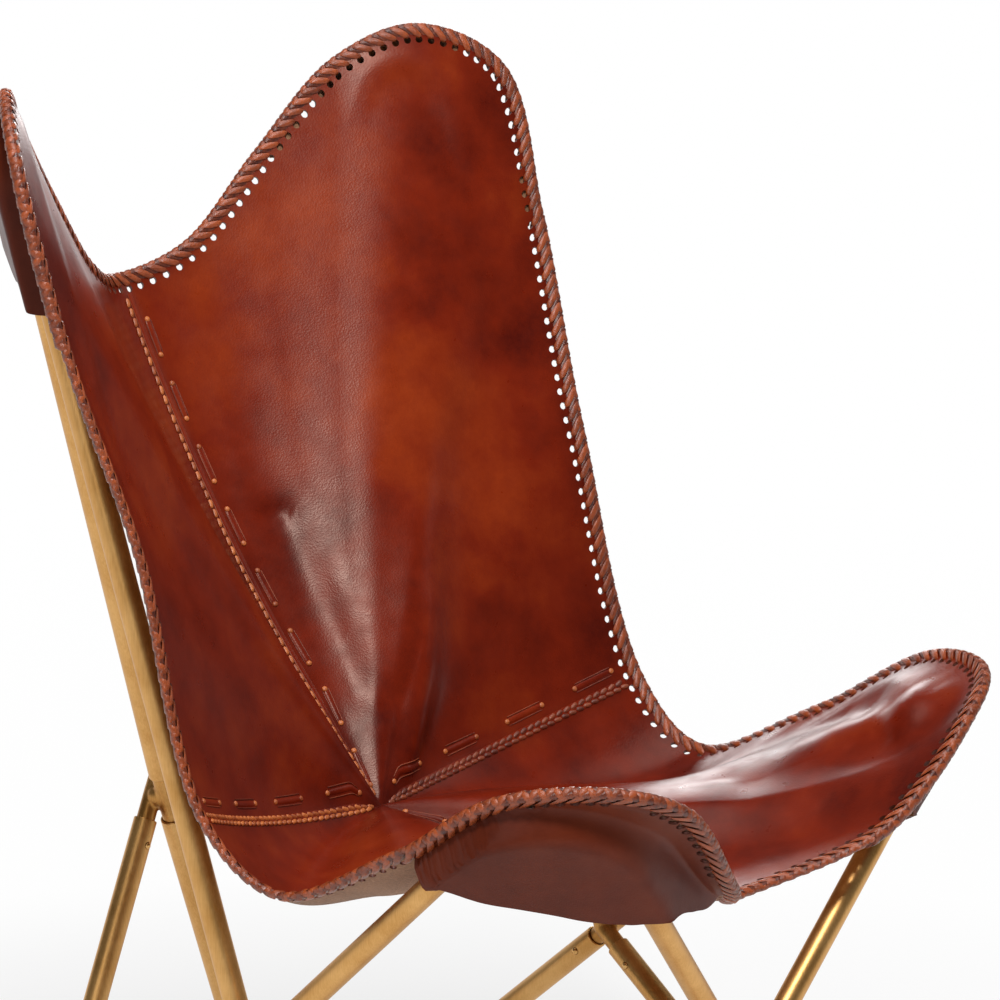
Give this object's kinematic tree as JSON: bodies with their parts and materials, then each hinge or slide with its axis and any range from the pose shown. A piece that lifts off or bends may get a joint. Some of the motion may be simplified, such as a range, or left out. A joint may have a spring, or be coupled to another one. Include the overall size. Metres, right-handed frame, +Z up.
{
  "type": "sling chair",
  "caption": "Butterfly sling chair: a laced leather sling hung by corner pockets on a knock-down brass tube frame with snap-button joints.",
  "frame": {"origin": "floor level, under the middle of the overall box", "axes": "+Z up, the seat faces -Y, the sitter's left hand is +X"},
  "size_m": [0.6762, 0.7227, 0.9444],
  "materials": {
    "tube": "satin brass-plated tube",
    "connector": "satin brass-plated rod, welded",
    "button": "polished",
    "glide": "matte nylon",
    "leather": "waxed, semi-gloss",
    "pocket": "waxed, satin",
    "lacing": "braided thong, satin"
  },
  "bodies": {
    "chair": {"upper_tube_rear_left": "tube", "upper_tube_rear_right": "tube", "upper_tube_front_left": "tube", "upper_tube_front_right": "tube", "leg_rear_left": "tube", "glide_rear_left": "glide", "leg_rear_right": "tube", "glide_rear_right": "glide", "leg_front_left": "tube", "glide_front_left": "glide", "leg_front_right": "tube", "glide_front_right": "glide", "connector_rear": "connector", "connector_front": "connector", "connector_left": "connector", "connector_right": "connector", "panel_back_left": "leather", "panel_back_right": "leather", "panel_seat_left": "leather", "panel_seat_right": "leather", "pocket_rear_left": "pocket", "pocket_rear_right": "pocket", "pocket_front_left": "pocket", "pocket_front_right": "pocket", "lacing_peak_rear_left": "lacing", "lacing_peak_rear_right": "lacing", "lacing_peak_front_left": "lacing", "lacing_peak_front_right": "lacing", "lacing_side_left": "lacing", "lacing_side_right": "lacing", "lacing_back": "lacing", "lacing_front": "lacing"},
    "button_rear_upper_left": {"button_rear_upper_left": "button"},
    "button_left_upper_rear": {"button_left_upper_rear": "button"},
    "button_rear_upper_right": {"button_rear_upper_right": "button"},
    "button_right_upper_rear": {"button_right_upper_rear": "button"},
    "button_front_upper_left": {"button_front_upper_left": "button"},
    "button_left_upper_front": {"button_left_upper_front": "button"},
    "button_front_upper_right": {"button_front_upper_right": "button"},
    "button_right_upper_front": {"button_right_upper_front": "button"},
    "button_rear_lower_left": {"button_rear_lower_left": "button"},
    "button_left_lower_rear": {"button_left_lower_rear": "button"},
    "button_rear_lower_right": {"button_rear_lower_right": "button"},
    "button_right_lower_rear": {"button_right_lower_rear": "button"},
    "button_front_lower_left": {"button_front_lower_left": "button"},
    "button_left_lower_front": {"button_left_lower_front": "button"},
    "button_front_lower_right": {"button_front_lower_right": "button"},
    "button_right_lower_front": {"button_right_lower_front": "button"}
  },
  "joints": [
    {"name": "button_rear_upper_left_press", "type": "slide", "parent": "chair", "child": "button_rear_upper_left", "axis": [0.0279, 0.9973, 0.0686], "range_m": [0, 0.0037], "stiffness_N_per_m": 2500, "springref_m": -0.002},
    {"name": "button_left_upper_rear_press", "type": "slide", "parent": "chair", "child": "button_left_upper_rear", "axis": [0.9985, -0.0146, -0.0525], "range_m": [0, 0.0037], "stiffness_N_per_m": 2500, "springref_m": -0.002},
    {"name": "button_rear_upper_right_press", "type": "slide", "parent": "chair", "child": "button_rear_upper_right", "axis": [-0.021, 0.9984, 0.0516], "range_m": [0, 0.0037], "stiffness_N_per_m": 2500, "springref_m": -0.002},
    {"name": "button_right_upper_rear_press", "type": "slide", "parent": "chair", "child": "button_right_upper_rear", "axis": [-0.9985, -0.0146, -0.0525], "range_m": [0, 0.0037], "stiffness_N_per_m": 2500, "springref_m": -0.002},
    {"name": "button_front_upper_left_press", "type": "slide", "parent": "chair", "child": "button_front_upper_left", "axis": [-0.0505, -0.9974, -0.0508], "range_m": [0, 0.0037], "stiffness_N_per_m": 2500, "springref_m": -0.002},
    {"name": "button_left_upper_front_press", "type": "slide", "parent": "chair", "child": "button_left_upper_front", "axis": [0.9942, 0.0802, -0.0709], "range_m": [0, 0.0037], "stiffness_N_per_m": 2500, "springref_m": -0.002},
    {"name": "button_front_upper_right_press", "type": "slide", "parent": "chair", "child": "button_front_upper_right", "axis": [0.0733, -0.9946, -0.0738], "range_m": [0, 0.0037], "stiffness_N_per_m": 2500, "springref_m": -0.002},
    {"name": "button_right_upper_front_press", "type": "slide", "parent": "chair", "child": "button_right_upper_front", "axis": [-0.9942, 0.0802, -0.0709], "range_m": [0, 0.0037], "stiffness_N_per_m": 2500, "springref_m": -0.002},
    {"name": "button_rear_lower_left_press", "type": "slide", "parent": "chair", "child": "button_rear_lower_left", "axis": [-0.024, 0.9984, 0.0506], "range_m": [0, 0.0037], "stiffness_N_per_m": 2500, "springref_m": -0.002},
    {"name": "button_left_lower_rear_press", "type": "slide", "parent": "chair", "child": "button_left_lower_rear", "axis": [0.9986, -0.0401, 0.0331], "range_m": [0, 0.0037], "stiffness_N_per_m": 2500, "springref_m": -0.002},
    {"name": "button_rear_lower_right_press", "type": "slide", "parent": "chair", "child": "button_rear_lower_right", "axis": [0.0049, 0.9999, 0.0104], "range_m": [0, 0.0037], "stiffness_N_per_m": 2500, "springref_m": -0.002},
    {"name": "button_right_lower_rear_press", "type": "slide", "parent": "chair", "child": "button_right_lower_rear", "axis": [-0.9986, -0.0401, 0.0331], "range_m": [0, 0.0037], "stiffness_N_per_m": 2500, "springref_m": -0.002},
    {"name": "button_front_lower_left_press", "type": "slide", "parent": "chair", "child": "button_front_lower_left", "axis": [-0.0348, -0.9986, 0.0388], "range_m": [0, 0.0037], "stiffness_N_per_m": 2500, "springref_m": -0.002},
    {"name": "button_left_lower_front_press", "type": "slide", "parent": "chair", "child": "button_left_lower_front", "axis": [0.9889, -0.1197, -0.0881], "range_m": [0, 0.0037], "stiffness_N_per_m": 2500, "springref_m": -0.002},
    {"name": "button_front_lower_right_press", "type": "slide", "parent": "chair", "child": "button_front_lower_right", "axis": [-0.01, -0.9999, -0.0112], "range_m": [0, 0.0037], "stiffness_N_per_m": 2500, "springref_m": -0.002},
    {"name": "button_right_lower_front_press", "type": "slide", "parent": "chair", "child": "button_right_lower_front", "axis": [-0.9889, -0.1197, -0.0881], "range_m": [0, 0.0037], "stiffness_N_per_m": 2500, "springref_m": -0.002}
  ]
}
